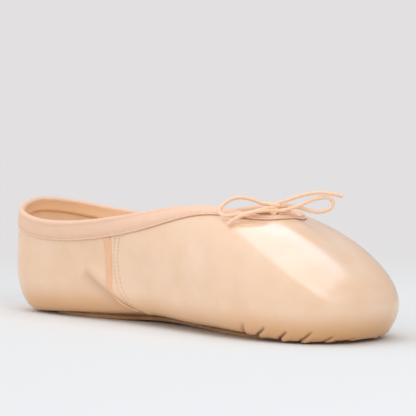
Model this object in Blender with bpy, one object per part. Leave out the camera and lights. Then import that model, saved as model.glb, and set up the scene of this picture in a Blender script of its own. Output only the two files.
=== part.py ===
"""Demi pointe ballet shoe: satin upper, leather outsole, insole, collar casing and bow.

The last is a table of sections round the shoe. One function turns the table into points
of the upper's outer surface, and every other piece is worked out from that same surface.
Sizes are in millimetres, with the back of the heel at x = 0, the toe at +x and the floor at
z = 0. The finished meshes are in metres, centred over the sole.
"""
import math

import bmesh
import bpy
import numpy as np
from mathutils import Matrix, Vector

MM = 0.001

# Driving sizes in millimetres
LENGTH = 235.0
GAP = 0.3              # between pieces that meet
WALL = 1.6             # satin, canvas and cotton lining, pasted together
SOLE_THICK = 2.2       # leather outsole
SOLE_EDGE = 0.5        # skived edge of the outsole
SEAT_Z = SOLE_THICK + GAP   # underside of the upper where it is lasted over the outsole
SEAT_OUT = 1.0         # flat seat of the upper, past the outsole's edge
LAP = 6.0              # how far the upper runs in under the insole
INSOLE_THICK = 1.5
INSOLE_LIP = 0.5       # how far the insole reaches past the outsole's outline
INSOLE_BEVEL = 0.6
WAIST_FROM = 66.0      # the sole's line lifts a little between heel seat and ball
WAIST_TO = 144.0
WAIST_ARCH = 1.2
TOE_FROM = 206.0       # and again towards the tip of the toe
TOE_SPRING = 1.2
CASING_INSIDE = 0.8    # width of the casing's inner side, as a share of its outer side
CASING_CLOTH = 0.7
CASING_ROLL = 1.5      # height of the roll round the drawstring
ROLL_SPREAD = 1.35     # how much wider than high the roll is
ROLL_ANGLES = range(-30, 211, 40)
CASING_SEAT = 1.4      # depth of the casing's fold under its top
CASING_GAP = 1.5 * GAP      # inside the casing's fold
RIM_DROP = 2.2         # depth of the upper's own edge under the casing's top
CORD = 1.7             # drawstring diameter

# Side seam tapes: the station where they cross the widest outline, how far they lean
# towards the toe above it and at their lower end, in stations, and the millimetres between
# two stations there
TAPE_WIDE = 4.4
TAPE_NARROW = 0.5      # share of the width left at the lower end
TAPE_THICK = 0.6
SEAM_STATION = 4.45
SEAM_TOP_LEAN = 0.24
SEAM_SLANT = 0.65
SEAM_BEND = 1.6
SEAM_SPACING = 28.0
SEAM_LOW_END = 0.35    # where the tape ends below the widest point

# Steps of the meshes
PER_SECTION = 3
LOW_STEPS = 5
TOP_STEPS = 7
NUDGE = 0.02           # step for a slope, in stations or along a section

# One row for each section, from the back of the heel along the near side to the toe.
# x, y, wide_z   the widest outline of the last, seen in plan, and its height
# rim_*          the top of the casing round the collar
# casing         width of the casing's outer side; the drawstring gathers it at the throat
# shoulder_z     the height that the wall would reach if it ran straight up
# low, top       how full the section is below and above its widest point
# tuck, under_z  how far in from the widest outline the bottom is flat, and its height
# sole_x, sole_y the outsole's outline
COLUMNS = (
    "x", "y", "wide_z", "rim_x", "rim_y", "rim_z", "casing", "shoulder_z",
    "low", "top", "tuck", "under_z", "sole_x", "sole_y",
)
SECTIONS = (
    (0.0, 0.0, 26.0, 2.8, 0.0, 57.0, 8.8, 42.0, 0.75, 1.0, 11.0, 1.0, 24.0, 0.0),
    (5.0, 18.0, 25.5, 6.6, 15.0, 55.5, 8.8, 42.0, 0.75, 1.0, 11.0, 1.0, 26.0, 8.5),
    (19.5, 27.5, 24.5, 15.5, 26.0, 52.0, 8.8, 41.0, 0.75, 1.0, 10.0, 1.0, 33.0, 15.5),
    (42.0, 28.5, 23.0, 35.0, 30.5, 49.0, 8.8, 40.0, 0.8, 1.0, 8.5, 2.2, 47.0, 18.0),
    (68.0, 27.5, 20.5, 59.5, 29.5, 50.0, 8.8, 41.0, 0.85, 1.0, 8.0, 3.5, 70.0, 15.5),
    (96.0, 28.0, 19.0, 86.0, 26.0, 54.0, 8.8, 45.0, 0.95, 1.0, 11.0, 3.7, 96.0, 12.5),
    (125.0, 32.0, 18.0, 111.0, 22.0, 58.5, 8.8, 50.0, 1.0, 1.0, 10.5, 3.8, 124.0, 14.0),
    (152.0, 36.5, 17.0, 132.0, 19.0, 61.0, 7.8, 53.0, 1.0, 1.0, 10.0, 3.9, 149.0, 20.5),
    (178.0, 38.5, 16.0, 149.0, 16.5, 60.5, 7.0, 52.0, 1.0, 1.0, 9.0, 2.9, 173.0, 25.5),
    (202.0, 35.5, 15.5, 163.0, 14.0, 58.5, 5.2, 48.0, 0.85, 1.0, 8.0, 1.2, 192.0, 23.0),
    (220.5, 28.5, 16.0, 171.7, 10.5, 58.0, 4.4, 41.5, 0.6, 1.0, 8.5, 1.1, 206.0, 17.0),
    (231.0, 18.5, 17.0, 175.4, 6.5, 58.1, 4.1, 36.0, 0.4, 1.0, 8.5, 1.5, 215.0, 10.5),
    (234.5, 9.5, 17.5, 176.8, 3.0, 58.1, 3.8, 32.5, 0.38, 1.05, 8.0, 1.3, 218.5, 5.0),
    (235.0, 0.0, 18.0, 177.3, 0.0, 57.9, 3.6, 32.0, 0.38, 1.1, 8.0, 1.3, 219.5, 0.0),
)
# The collar of the far side lies otherwise than the near side's, mostly slumped: section
# number and sag of its rim
FAR_SAG = {
    2: -0.9, 3: -1.3, 5: 1.8, 6: 3.6, 7: 3.0, 8: 1.0, 10: 1.0, 11: 1.3, 12: 0.9,
}

TOE = len(SECTIONS) - 1      # station number of the toe's tip
ROUND = 2 * TOE              # stations in the whole loop


def clear_scene():
    """Start from an empty file."""
    for thing in list(bpy.data.objects):
        bpy.data.objects.remove(thing, do_unlink=True)


def loop_table():
    """The near side's rows, then the far side's back to the heel."""
    mirrored = [COLUMNS.index(name) for name in ("y", "rim_y", "sole_y")]
    rim_z = COLUMNS.index("rim_z")
    near = np.array(SECTIONS)
    far = np.array(SECTIONS[TOE - 1:0:-1])
    near[:, mirrored] *= -1
    for row, number in enumerate(range(TOE - 1, 0, -1)):
        far[row, rim_z] -= FAR_SAG.get(number, 0.0)
    return np.vstack([near, far])


def periodic_slopes(rows):
    """Slopes of the smooth closed curve through evenly numbered rows."""
    count = len(rows)
    matrix = 4 * np.eye(count) + np.roll(np.eye(count), 1, 0) + np.roll(np.eye(count), -1, 0)
    return np.linalg.solve(matrix, 3 * (np.roll(rows, -1, 0) - np.roll(rows, 1, 0)))


TABLE = loop_table()
SLOPES = periodic_slopes(TABLE)


def station(s):
    """Every column of the table at station s, and its rate of change."""
    s = np.asarray(s, float) % ROUND
    low = np.floor(s).astype(int)
    high = (low + 1) % ROUND
    t = (s - low)[..., None]
    a, b, da, db = TABLE[low], TABLE[high], SLOPES[low], SLOPES[high]
    value = (
        (2 * t**3 - 3 * t**2 + 1) * a + (t**3 - 2 * t**2 + t) * da
        + (3 * t**2 - 2 * t**3) * b + (t**3 - t**2) * db
    )
    rate = 6 * (t**2 - t) * (a - b) + (3 * t**2 - 4 * t + 1) * da + (3 * t**2 - 2 * t) * db
    names = dict(zip(COLUMNS, np.moveaxis(value, -1, 0)))
    rates = dict(zip(COLUMNS, np.moveaxis(rate, -1, 0)))
    return names, rates


def lift(x):
    """Height of the sole's underside above the floor: waist arch and toe spring."""
    waist = np.clip((x - WAIST_FROM) / (WAIST_TO - WAIST_FROM), 0.0, 1.0)
    toe = np.clip((x - TOE_FROM) / (LENGTH - TOE_FROM), 0.0, 1.0)
    return WAIST_ARCH * np.sin(math.pi * waist) ** 2 + TOE_SPRING * toe**2


def outward(rates, x, y):
    """Unit vector in plan that points out of the outline with columns x and y."""
    size = np.hypot(rates[x], rates[y])
    return rates[y] / size, -rates[x] / size


def sole_line(s, out=0.0):
    """The outsole's outline, grown outward by out."""
    row, rate = station(s)
    nx, ny = outward(rate, "sole_x", "sole_y")
    return row["sole_x"] + nx * out, row["sole_y"] + ny * out


def conic(start, corner, end, fullness, t):
    """A rounded corner from start to end; a larger fullness lies nearer to the corner."""
    weight = 2 * fullness * t * (1 - t)
    bottom = (1 - t) ** 2 + weight + t**2
    return ((1 - t) ** 2 * start + weight * corner + t**2 * end) / bottom


def section(s, part, t):
    """A point of the outer surface. part is "seat", "low" or "top", and t runs 0 to 1."""
    row, rate = station(s)
    nx, ny = outward(rate, "x", "y")
    inner_x = row["x"] - nx * row["tuck"]
    inner_y = row["y"] - ny * row["tuck"]
    floor = np.stack([inner_x, inner_y, row["under_z"] + lift(inner_x)])
    widest = np.stack([row["x"], row["y"], row["wide_z"]])
    if part == "seat":
        lap_x, lap_y = sole_line(s, t * (LAP + SEAT_OUT) - LAP)
        return np.stack([lap_x, lap_y, SEAT_Z + lift(lap_x)])
    if part == "low":
        corner = np.stack([row["x"], row["y"], row["under_z"] + lift(row["x"])])
        return conic(floor, corner, widest, row["low"], t)
    corner = np.stack([row["x"], row["y"], row["shoulder_z"]])
    rim = np.stack([row["rim_x"], row["rim_y"], row["rim_z"]])
    return conic(widest, corner, rim, row["top"], t)


FINE = np.linspace(0.0, 1.05, 211)


def rim_t(s, drop):
    """Where on the top of section s the surface lies drop below the rim, square to the rim."""
    run = section(np.full(FINE.size, s), "top", FINE)
    length = np.concatenate([[0.0], np.cumsum(np.linalg.norm(np.diff(run, axis=1), axis=0))])
    at_rim = np.interp(1.0, FINE, length)
    rate = station(s)[1]
    rim = np.array([rate["rim_x"], rate["rim_y"], rate["rim_z"]])
    up = section(s, "top", 1.0) - section(s, "top", 0.95)
    square = np.linalg.norm(np.cross(rim, up)) / np.linalg.norm(rim) / np.linalg.norm(up)
    return np.interp(at_rim - drop / square, length, FINE)


def below_rim(s, drop):
    """The outer surface's point that lies drop below the rim."""
    return section(s, "top", rim_t(s, drop))


def skin_frame(s, drop):
    """Point and outward normal of the outer surface at drop below the rim."""
    here = below_rim(s, drop)
    along = below_rim(s + NUDGE, drop) - below_rim(s - NUDGE, drop)
    upward = below_rim(s, drop - GAP) - below_rim(s, drop + GAP)
    normal = np.cross(along, upward)
    return here, normal / np.linalg.norm(normal)


def place(point):
    """From the table's millimetres to the part's own frame in metres."""
    return Vector(((point[0] - LENGTH / 2) * MM, point[1] * MM, point[2] * MM))


def grid_mesh(name, points):
    """A grid whose vertex in column i and row j goes to points[i][j]; ends that meet merge."""
    columns, rows = len(points), len(points[0])
    mesh_maker = bmesh.new()
    made = bmesh.ops.create_grid(
        mesh_maker, x_segments=columns - 1, y_segments=rows - 1, size=1.0
    )
    for vertex in made["verts"]:
        i = round((vertex.co.x + 1) / 2 * (columns - 1))
        j = round((vertex.co.y + 1) / 2 * (rows - 1))
        vertex.co = place(points[i][j])
    bmesh.ops.remove_doubles(mesh_maker, verts=mesh_maker.verts, dist=0.02 * MM)
    mesh = bpy.data.meshes.new(name)
    mesh_maker.to_mesh(mesh)
    mesh_maker.free()
    return mesh


def point_out(mesh):
    """Turn a closed mesh's faces outward."""
    mesh_maker = bmesh.new()
    mesh_maker.from_mesh(mesh)
    bmesh.ops.recalc_face_normals(mesh_maker, faces=mesh_maker.faces)
    mesh_maker.to_mesh(mesh)
    mesh_maker.free()


def finish(name, data, color, roughness):
    """Link the object and give it a material of its own."""
    thing = bpy.data.objects.new(name, data)
    bpy.context.scene.collection.objects.link(thing)
    material = bpy.data.materials.new(name)
    material.use_nodes = True
    shader = material.node_tree.nodes["Principled BSDF"]
    shader.inputs["Base Color"].default_value = (*color, 1.0)
    shader.inputs["Roughness"].default_value = roughness
    shader.inputs["Metallic"].default_value = 0.0
    data.materials.append(material)
    if hasattr(data, "shade_smooth"):
        data.shade_smooth()
        data.set_sharp_from_angle(angle=math.radians(50))
    return thing


def thicken(thing, thickness, offset):
    """Give a sheet a wall: offset -1 grows it inward and 1 outward."""
    solid = thing.modifiers.new("wall", "SOLIDIFY")
    solid.thickness = thickness * MM
    solid.offset = offset
    solid.use_even_offset = True


STATIONS = np.arange(ROUND * PER_SECTION + 1) / PER_SECTION
SATIN = (0.82, 0.52, 0.36)
COTTON = (0.80, 0.46, 0.33)
LEATHER = (0.36, 0.20, 0.12)
LINING = (0.72, 0.50, 0.34)


def make_upper():
    """Satin upper: lasted flat under the insole, round the last and up to the collar."""
    points = []
    for s in STATIONS:
        column = [section(s, "seat", 0.0), section(s, "seat", 0.5), section(s, "seat", 1.0)]
        column += [section(s, "low", t) for t in np.linspace(0, 1, LOW_STEPS + 1)]
        wide = station(s)[0]["casing"]
        casing = rim_t(s, wide)
        column += [section(s, "top", t) for t in np.linspace(0, casing, TOP_STEPS + 1)[1:]]
        column += [below_rim(s, drop) for drop in np.linspace(wide, RIM_DROP, 4)[1:]]
        points.append(column)
    thing = finish("upper", grid_mesh("upper", points), SATIN, 0.35)
    thicken(thing, WALL, -1)


def casing_profile(wide):
    """Drop below the rim and height out of the upper's surface, round the folded cloth."""
    roll = CASING_ROLL
    cloth = CASING_CLOTH
    mid = -WALL / 2
    arc = [math.radians(angle) for angle in ROLL_ANGLES]
    roll_end = roll - roll * math.sin(arc[0])
    profile = [(wide, GAP), (wide, GAP + cloth), ((wide + roll_end) / 2, GAP + 1.5 * cloth)]
    profile += [
        (roll - roll * math.sin(angle), mid + ROLL_SPREAD * roll * math.cos(angle))
        for angle in arc
    ]
    inner = -WALL - CASING_GAP
    inside = CASING_INSIDE * wide
    profile += [(inside, inner - cloth), (inside, inner)]
    profile += [(wide / 2, inner), (CASING_SEAT, inner)]
    profile += [(CASING_SEAT, CASING_GAP), (wide / 2, CASING_GAP), (inside, GAP)]
    return profile + profile[:1]


def make_casing():
    """Cotton casing folded over the rim, with a roll along its top that holds the drawstring."""
    points = []
    for s in STATIONS:
        column = []
        for drop, height in casing_profile(station(s)[0]["casing"]):
            here, normal = skin_frame(s, drop)
            column.append(here + normal * height)
        points.append(column)
    mesh = grid_mesh("collar_casing", points)
    point_out(mesh)
    finish("collar_casing", mesh, COTTON, 0.85)


def plate(name, profile, color, roughness):
    """A plate under the foot. profile lists how far each edge line stands out from the
    outsole's outline and its height over the sole's underside, from bottom to top."""
    points = []
    for s in np.arange(TOE * PER_SECTION + 1) / PER_SECTION:
        near = []
        for out, height in profile:
            x, y = sole_line(s, out)
            near.append((x, y, height + lift(x)))
        far = [(x, -y, z) for x, y, z in reversed(near)]
        points.append(near + far + near[:1])
    mesh = grid_mesh(name, points)
    point_out(mesh)
    finish(name, mesh, color, roughness)


def make_outsole():
    """Leather outsole: flat at heel and forefoot, a little arched between, edges skived."""
    plate(
        "outsole",
        [(-SOLE_EDGE, 0.0), (0.0, SOLE_EDGE), (0.0, SOLE_THICK - 2 * SOLE_EDGE),
         (-2 * SOLE_EDGE, SOLE_THICK)],
        LEATHER, 0.75,
    )


def make_insole():
    """Insole: fills the gap between the lasted edges and lies over them."""
    plug = -LAP - GAP
    lip_z = SEAT_Z + WALL + GAP
    top_z = lip_z + INSOLE_THICK
    plate(
        "insole",
        [(plug, SEAT_Z), (plug, lip_z), (INSOLE_LIP, lip_z),
         (INSOLE_LIP, top_z - INSOLE_BEVEL), (INSOLE_LIP - INSOLE_BEVEL, top_z)],
        LINING, 0.8,
    )


def seam_line(part, t):
    """Station of the side seam on the near side, and the tape's share of its full width."""
    if part == "top":
        return SEAM_STATION + SEAM_TOP_LEAN * t**2, 1.0
    down = (1 - t) / (1 - SEAM_LOW_END)
    return SEAM_STATION + SEAM_SLANT * down**SEAM_BEND, 1 - (1 - TAPE_NARROW) * down


def make_seam_tape(name, side):
    """Narrow tape over the side seam, from the casing down to the bottom edge."""
    steps = [("low", t) for t in np.linspace(SEAM_LOW_END, 1, 8)]
    steps += [("top", t) for t in np.linspace(0, 1, 11)[1:]]
    points = []
    for across in np.linspace(-0.5, 0.5, 3):
        column = []
        for part, t in steps:
            if part == "top":
                middle = SEAM_STATION if side < 0 else ROUND - SEAM_STATION
                t *= rim_t(middle, station(middle)[0]["casing"] + GAP)
            middle, share = seam_line(part, t)
            if side > 0:
                middle = ROUND - middle
            s = middle + across * share * TAPE_WIDE / SEAM_SPACING
            point = section(s, part, t)
            step_s = section(s + NUDGE, part, t) - section(s - NUDGE, part, t)
            step_t = section(s, part, t + NUDGE) - section(s, part, t - NUDGE)
            normal = np.cross(step_s, step_t)
            column.append(point + normal / np.linalg.norm(normal) * GAP)
        points.append(column)
    thing = finish(name, grid_mesh(name, points), COTTON, 0.6)
    thicken(thing, TAPE_THICK, 1)


# The bow, in the same millimetres. Beads of the knot: place, and the radii along the bow,
# through it and up
BOW_TURN = math.radians(44)
KNOT_BEADS = (
    ((173.8, -6.0, 62.9), (2.3, 1.7, 1.45)),
    ((173.6, -6.0, 61.2), (1.1, 1.1, 1.3)),
    ((174.5, -7.2, 59.7), (1.6, 1.4, 1.1)),
    ((175.2, -6.4, 59.4), (1.1, 1.1, 1.0)),
)
# The two ends of the drawstring, from the casing at the throat up into the knot
KNOT_TAILS = (
    ((176.4, -4.9, 59.2), (174.9, -6.7, 59.7)),
    ((178.0, -1.4, 59.4), (175.2, -5.8, 59.5)),
)
CORDS = {
    "bow_loop_near": (
        (171.8, -7.7, 63.1), (168.0, -10.5, 64.0), (164.5, -12.5, 65.5), (161.0, -15.0, 66.5),
        (158.0, -17.5, 66.5), (155.5, -21.0, 65.0), (154.0, -23.8, 62.5), (154.2, -25.8, 60.0),
        (157.0, -26.4, 58.6), (161.5, -24.9, 58.6), (165.5, -21.3, 59.4), (168.6, -17.4, 60.3),
        (170.6, -13.3, 61.2), (171.8, -10.0, 61.8),
    ),
    "bow_end_near": (
        (174.4, -9.1, 59.8), (173.0, -14.2, 59.7), (170.7, -19.2, 59.1), (168.3, -22.7, 58.3),
        (165.3, -25.2, 57.3), (163.0, -26.9, 56.2), (161.2, -28.2, 55.1),
    ),
    "bow_loop_far": (
        (177.0, -6.0, 60.6), (178.5, -4.2, 61.1), (180.0, -2.2, 61.8), (181.8, 0.3, 62.7),
        (183.3, 3.5, 64.0), (185.0, 7.0, 65.5), (187.0, 10.5, 66.3), (189.0, 13.3, 66.5),
        (190.7, 15.0, 65.4), (191.3, 15.3, 63.5), (190.8, 14.2, 61.5), (189.3, 12.3, 60.2),
        (187.0, 9.7, 59.6), (184.2, 7.2, 60.0), (181.6, 4.9, 61.0), (179.3, 2.2, 62.0),
        (177.4, -0.6, 62.6), (176.0, -3.0, 62.7),
    ),
    "bow_end_far": (
        (175.4, -4.3, 64.7), (177.2, -1.8, 65.5), (179.0, 0.7, 66.6), (181.0, 3.5, 67.6),
        (183.5, 7.0, 68.5), (187.0, 10.8, 68.9), (190.5, 14.8, 68.4), (194.0, 18.7, 67.1),
    ),
}
CORD_STEP = 1.5 * CORD


def smooth_route(route):
    """Evenly spaced points along the smooth curve through a route's own points."""
    points = np.array(route)
    reach = np.concatenate([[0.0], np.cumsum(np.linalg.norm(np.diff(points, axis=0), axis=1))])
    slopes = np.gradient(points, reach, axis=0)
    fine = np.linspace(0.0, reach[-1], 400)
    index = np.clip(np.searchsorted(reach, fine, side="right") - 1, 0, len(reach) - 2)
    span = (reach[index + 1] - reach[index])[:, None]
    t = (fine - reach[index])[:, None] / span
    curve = (
        (2 * t**3 - 3 * t**2 + 1) * points[index] + (3 * t**2 - 2 * t**3) * points[index + 1]
        + (t**3 - 2 * t**2 + t) * span * slopes[index] + (t**3 - t**2) * span * slopes[index + 1]
    )
    length = np.concatenate([[0.0], np.cumsum(np.linalg.norm(np.diff(curve, axis=0), axis=1))])
    even = np.linspace(0.0, length[-1], round(length[-1] / CORD_STEP) + 1)
    return np.stack([np.interp(even, length, axis) for axis in curve.T], axis=1)


def make_cord(name, route):
    """A plain tube along the route, with filled ends."""
    curve = bpy.data.curves.new(name, "CURVE")
    curve.dimensions = "3D"
    curve.bevel_depth = CORD / 2 * MM
    curve.bevel_resolution = 2
    curve.use_fill_caps = True
    run = smooth_route(route)
    spline = curve.splines.new("POLY")
    spline.points.add(len(run) - 1)
    for control, point in zip(spline.points, run):
        control.co = (*place(point), 1.0)
    finish(name, curve, COTTON, 0.7)


def add_ball(mesh_maker, center, radii):
    """An egg-shaped bead lying along the bow."""
    turn = Matrix.Rotation(BOW_TURN, 4, "Z")
    size = Matrix.Diagonal((*(radius * MM for radius in radii), 1.0))
    bmesh.ops.create_uvsphere(
        mesh_maker, u_segments=8, v_segments=6, radius=1.0,
        matrix=Matrix.Translation(place(center)) @ turn @ size,
    )


def add_tail(mesh_maker, low, high):
    """A straight piece of cord from the casing into the knot."""
    start, end = place(low), place(high)
    aim = (end - start).to_track_quat("Z", "Y").to_matrix().to_4x4()
    bmesh.ops.create_cone(
        mesh_maker, cap_ends=True, segments=8, radius1=CORD / 2 * MM, radius2=CORD / 2 * MM,
        depth=(end - start).length, matrix=Matrix.Translation((start + end) / 2) @ aim,
    )


def make_knot():
    """Knot of the bow: beads of wound cord on the drawstring's two ends, fused together."""
    shapes = [(add_ball, *bead) for bead in KNOT_BEADS]
    shapes += [(add_tail, *tail) for tail in KNOT_TAILS]
    knot = None
    for add, first, second in shapes:
        mesh_maker = bmesh.new()
        add(mesh_maker, first, second)
        mesh = bpy.data.meshes.new("bow_knot")
        mesh_maker.to_mesh(mesh)
        mesh_maker.free()
        if knot is None:
            knot = finish("bow_knot", mesh, COTTON, 0.7)
            continue
        part = bpy.data.objects.new("knot_piece", mesh)
        bpy.context.scene.collection.objects.link(part)
        part.hide_render = True
        part.display_type = "WIRE"
        union = knot.modifiers.new("fuse", "BOOLEAN")
        union.operation = "UNION"
        union.object = part


clear_scene()
make_upper()
make_casing()
make_outsole()
make_insole()
make_seam_tape("seam_tape_near", -1)
make_seam_tape("seam_tape_far", 1)
make_knot()
for cord_name, cord_route in CORDS.items():
    make_cord(cord_name, cord_route)
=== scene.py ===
# %% [markdown]
# # A demi pointe shoe in satin
# A demi pointe shoe is built like a pointe shoe without its stiff box: satin backed with canvas
# and cotton, lasted over a thin leather sole, with a cotton casing round the collar and a
# drawstring tied in a small bow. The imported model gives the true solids. This script lays the
# fine surfaces over them: pleats, seams, stitches, cloth and cord.

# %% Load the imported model
import math

import bmesh
import bpy
import numpy as np
from mathutils import Matrix, Vector


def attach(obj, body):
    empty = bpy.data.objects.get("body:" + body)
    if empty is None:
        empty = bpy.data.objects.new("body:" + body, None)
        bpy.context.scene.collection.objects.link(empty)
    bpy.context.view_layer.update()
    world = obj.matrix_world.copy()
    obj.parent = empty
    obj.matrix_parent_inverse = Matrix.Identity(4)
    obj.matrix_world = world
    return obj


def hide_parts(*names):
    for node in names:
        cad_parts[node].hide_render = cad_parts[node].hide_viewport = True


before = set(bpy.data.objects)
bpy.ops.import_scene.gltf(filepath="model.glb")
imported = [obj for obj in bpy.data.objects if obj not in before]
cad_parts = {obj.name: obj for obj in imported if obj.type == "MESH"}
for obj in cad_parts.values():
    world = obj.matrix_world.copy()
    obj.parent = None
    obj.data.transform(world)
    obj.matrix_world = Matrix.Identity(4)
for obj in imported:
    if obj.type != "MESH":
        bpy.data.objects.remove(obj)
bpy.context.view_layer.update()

# %% [markdown]
# ## The camera
# A product photo of a shoe is taken with a long lens from a few metres away, because a long lens
# keeps the toe from looking swollen. The camera looks down a little, past the near rim, and turns
# so that the toe comes forward to the right.

# %% Camera
MM = 0.001
AZIMUTH = math.radians(43.6)
ELEVATION = math.radians(5.9)
DISTANCE = 1983.0            # millimetres from the middle of the shoe
FOCAL = 345.7                # millimetres
SENSOR = 36.0                # millimetres wide
MIDDLE = Vector((0.0, 0.0, 28.0))
AIM_RIGHT = 3.3              # the frame's centre, from the middle of the shoe
AIM_UP = 29.8

right = Vector((math.cos(AZIMUTH), math.sin(AZIMUTH), 0.0))
back = Vector((
    math.sin(AZIMUTH) * math.cos(ELEVATION),
    -math.cos(AZIMUTH) * math.cos(ELEVATION),
    math.sin(ELEVATION),
))
up = back.cross(right)
camera_place = (MIDDLE + back * DISTANCE) * MM
aim = (MIDDLE + right * AIM_RIGHT + up * AIM_UP) * MM

camera_data = bpy.data.cameras.new("camera")
camera_data.lens = FOCAL
camera_data.sensor_width = SENSOR
camera_data.clip_end = 100.0  # metres, past the far edge of the floor
camera = bpy.data.objects.new("camera", camera_data)
bpy.context.scene.collection.objects.link(camera)
camera.location = camera_place
camera.rotation_euler = (aim - camera_place).to_track_quat("-Z", "Y").to_euler()
bpy.context.scene.camera = camera
print("camera at", [round(c, 3) for c in camera_place])

# %% [markdown]
# ## One helper for every cloth surface
# Cloth, cord and leather here are all skins that follow rows and columns: columns run round the
# shoe or along a cord, rows run across it. A grid from `bmesh.ops.create_grid` has exactly that
# order, so each piece starts as a flat grid whose vertices are then moved to their places. Ends
# that meet are merged, which closes the skin. The UV map holds real lengths in metres, so a weave
# keeps its size wherever the cloth goes. A skin may also carry a number from 0 to 1 at each of its
# corners, which tells its material how much of a second colour to mix in there: painted shade in
# the satin's folds, and painted light on the casing's turned-in side.

# %% Places and lengths
LENGTH = 235.0               # millimetres, heel to toe
MERGE = 0.01                 # millimetres between points that count as one


def place(points):
    """Points in millimetres, with the heel at x = 0, as the frame's metres."""
    return (np.asarray(points, float) - (LENGTH / 2, 0.0, 0.0)) * MM


def ramp(value, start, end):
    """From 0 at start to 1 at end, straight between them and level beyond them."""
    return np.clip((value - start) / (end - start), 0.0, 1.0)


def run_lengths(points, axis):
    """Length along rows or columns of points, starting at 0."""
    steps = np.linalg.norm(np.diff(points, axis=axis), axis=-1)
    start = np.zeros_like(np.take(steps, [0], axis=axis))
    return np.concatenate([start, np.cumsum(steps, axis=axis)], axis=axis)


print("the toe's tip is at", place((LENGTH, 0.0, 0.0)).tolist())


# %% Grid skins
def grid_skin(name, points, painted_light_and_shade=None):
    """A closed skin through points[column, row], in millimetres, with an optional share of painted
    light or shade at each point.
    """
    columns, rows = points.shape[:2]
    maker = bmesh.new()
    maker.loops.layers.uv.new("UVMap")
    bmesh.ops.create_grid(
        maker, x_segments=columns - 1, y_segments=rows - 1, size=1.0, calc_uvs=True
    )
    mesh = bpy.data.meshes.new(name)
    maker.to_mesh(mesh)
    maker.free()

    flat = np.empty(len(mesh.vertices) * 3)
    mesh.vertices.foreach_get("co", flat)
    flat = flat.reshape(-1, 3)
    # the flat grid runs from -1 to 1 each way, so a vertex's place tells its column and row
    column = np.rint((flat[:, 0] + 1) / 2 * (columns - 1)).astype(int)
    row = np.rint((flat[:, 1] + 1) / 2 * (rows - 1)).astype(int)
    mesh.vertices.foreach_set("co", place(points[column, row]).ravel())

    along = run_lengths(points, 0).mean(axis=1)[:, None].repeat(rows, axis=1)
    across = run_lengths(points, 1)
    layer = mesh.uv_layers["UVMap"].data
    uv = np.empty(len(layer) * 2)
    layer.foreach_get("uv", uv)
    uv = uv.reshape(-1, 2)
    column = np.rint(uv[:, 0] * (columns - 1)).astype(int)
    row = np.rint(uv[:, 1] * (rows - 1)).astype(int)
    lengths = np.stack([along[column, row], across[column, row]], axis=1) * MM
    layer.foreach_set("uv", lengths.ravel())
    if painted_light_and_shade is not None:
        tones = mesh.attributes.new("painted_light_and_shade", "FLOAT", "CORNER")
        tones.data.foreach_set("value", painted_light_and_shade[column, row].astype(np.float32))

    maker = bmesh.new()
    maker.from_mesh(mesh)
    bmesh.ops.remove_doubles(maker, verts=maker.verts, dist=MERGE * MM)
    bmesh.ops.recalc_face_normals(maker, faces=maker.faces)
    maker.to_mesh(mesh)
    maker.free()
    return mesh


# %% Showing a piece
def show(name, mesh, material, slot, *replaced):
    """Link a finished piece, let it ride on the shoe, and hide the solids that it stands for."""
    piece = bpy.data.objects.new(name, mesh)
    bpy.context.scene.collection.objects.link(piece)
    mesh.materials.append(material)
    mesh.shade_smooth()
    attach(piece, "root")
    if replaced:
        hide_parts(*replaced)
    print(f"{name}: {sum(len(face.vertices) - 2 for face in mesh.polygons)} triangles")
    return piece


# %% [markdown]
# ## Colours and nodes
# A colour picked on a screen is an sRGB value, and Blender's shaders work in linear light,
# so one function turns hex values to linear. One more function adds a node, sets it and links it.

# %% Colour and node helpers
def paint(code):
    """A hex colour such as EBCDB0 as linear red, green, blue and alpha."""
    parts = [int(code[i:i + 2], 16) / 255 for i in (0, 2, 4)]
    linear = [c / 12.92 if c <= 0.04045 else ((c + 0.055) / 1.055) ** 2.4 for c in parts]
    return (*linear, 1.0)


print("half bright grey in linear light", round(paint("808080")[0], 3))


def add(tree, kind, inputs, **settings):
    """Add a node with its settings; an input is a value or another node's output."""
    node = tree.nodes.new(kind)
    for key, value in settings.items():
        setattr(node, key, value)
    for key, value in inputs.items():
        if isinstance(value, bpy.types.NodeSocket):
            tree.links.new(value, node.inputs[key])
        else:
            node.inputs[key].default_value = value
    return node


def new_material(name):
    """An empty node material, its shader and its tree."""
    material = bpy.data.materials.new(name)
    material.use_nodes = True
    tree = material.node_tree
    return material, tree, tree.nodes["Principled BSDF"]


# %% [markdown]
# ## Cotton cord
# The drawstring is a soft braided cotton cord, 1.7 mm thick in the solids. Its fuzz makes it look
# a little thicker, so it is drawn 1.85 mm thick. A braid shows as two sets of slanting strands that
# cross. Both are wave patterns on the UV map, one leaning each way, and together they pass through
# a bump node. The real strands are 0.3 mm wide; they are drawn 0.9 mm wide here so that they show.

# %% Cord material
WAVE_BAND = 2 * math.pi / 20  # a wave texture of scale 1 repeats after this length
STRAND = 0.9 * MM
BRAID_LEAN = 0.9             # radians between a strand and the cord's length


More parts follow.
